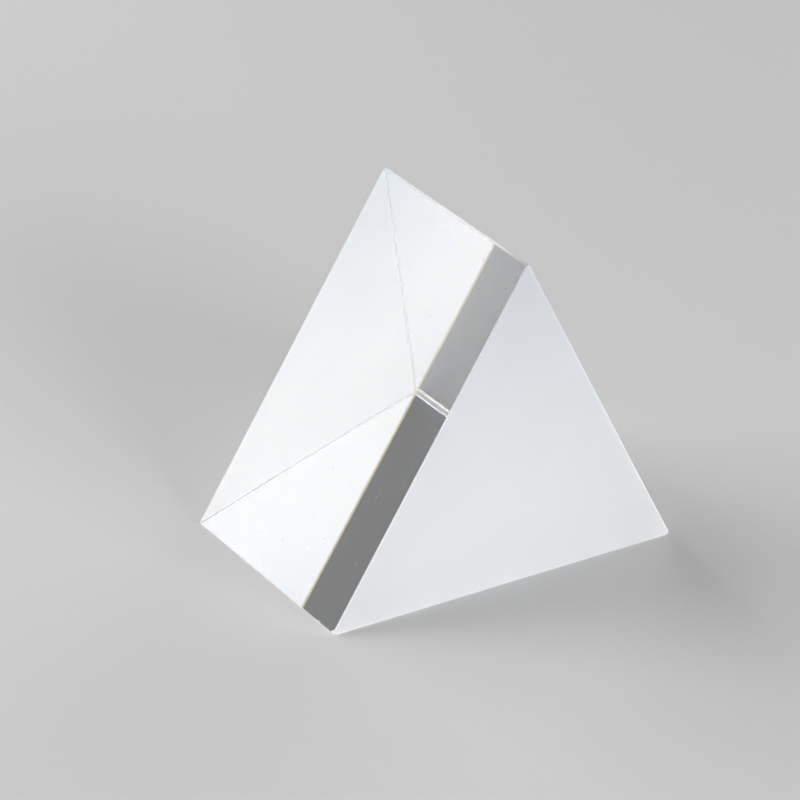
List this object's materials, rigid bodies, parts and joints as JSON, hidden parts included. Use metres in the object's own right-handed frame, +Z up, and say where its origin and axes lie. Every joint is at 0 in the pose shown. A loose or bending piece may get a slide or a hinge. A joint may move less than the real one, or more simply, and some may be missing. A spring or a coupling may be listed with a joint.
{
  "type": "equilateral prism",
  "caption": "Equilateral glass prism with polished long faces, fine-ground triangular ends and narrow safety bevels, lying on one polished face.",
  "frame": {"origin": "middle of the polished face that the prism rests on", "axes": "+X across the faces, +Y along the prism's length from the front end to the back end, +Z up to the ridge"},
  "size_m": [0.0496, 0.03, 0.0429],
  "materials": {
    "crown_glass": "polished faces, fine-ground ends and bevels"
  },
  "bodies": {
    "root": {"prism": "crown_glass"}
  },
  "joints": []
}
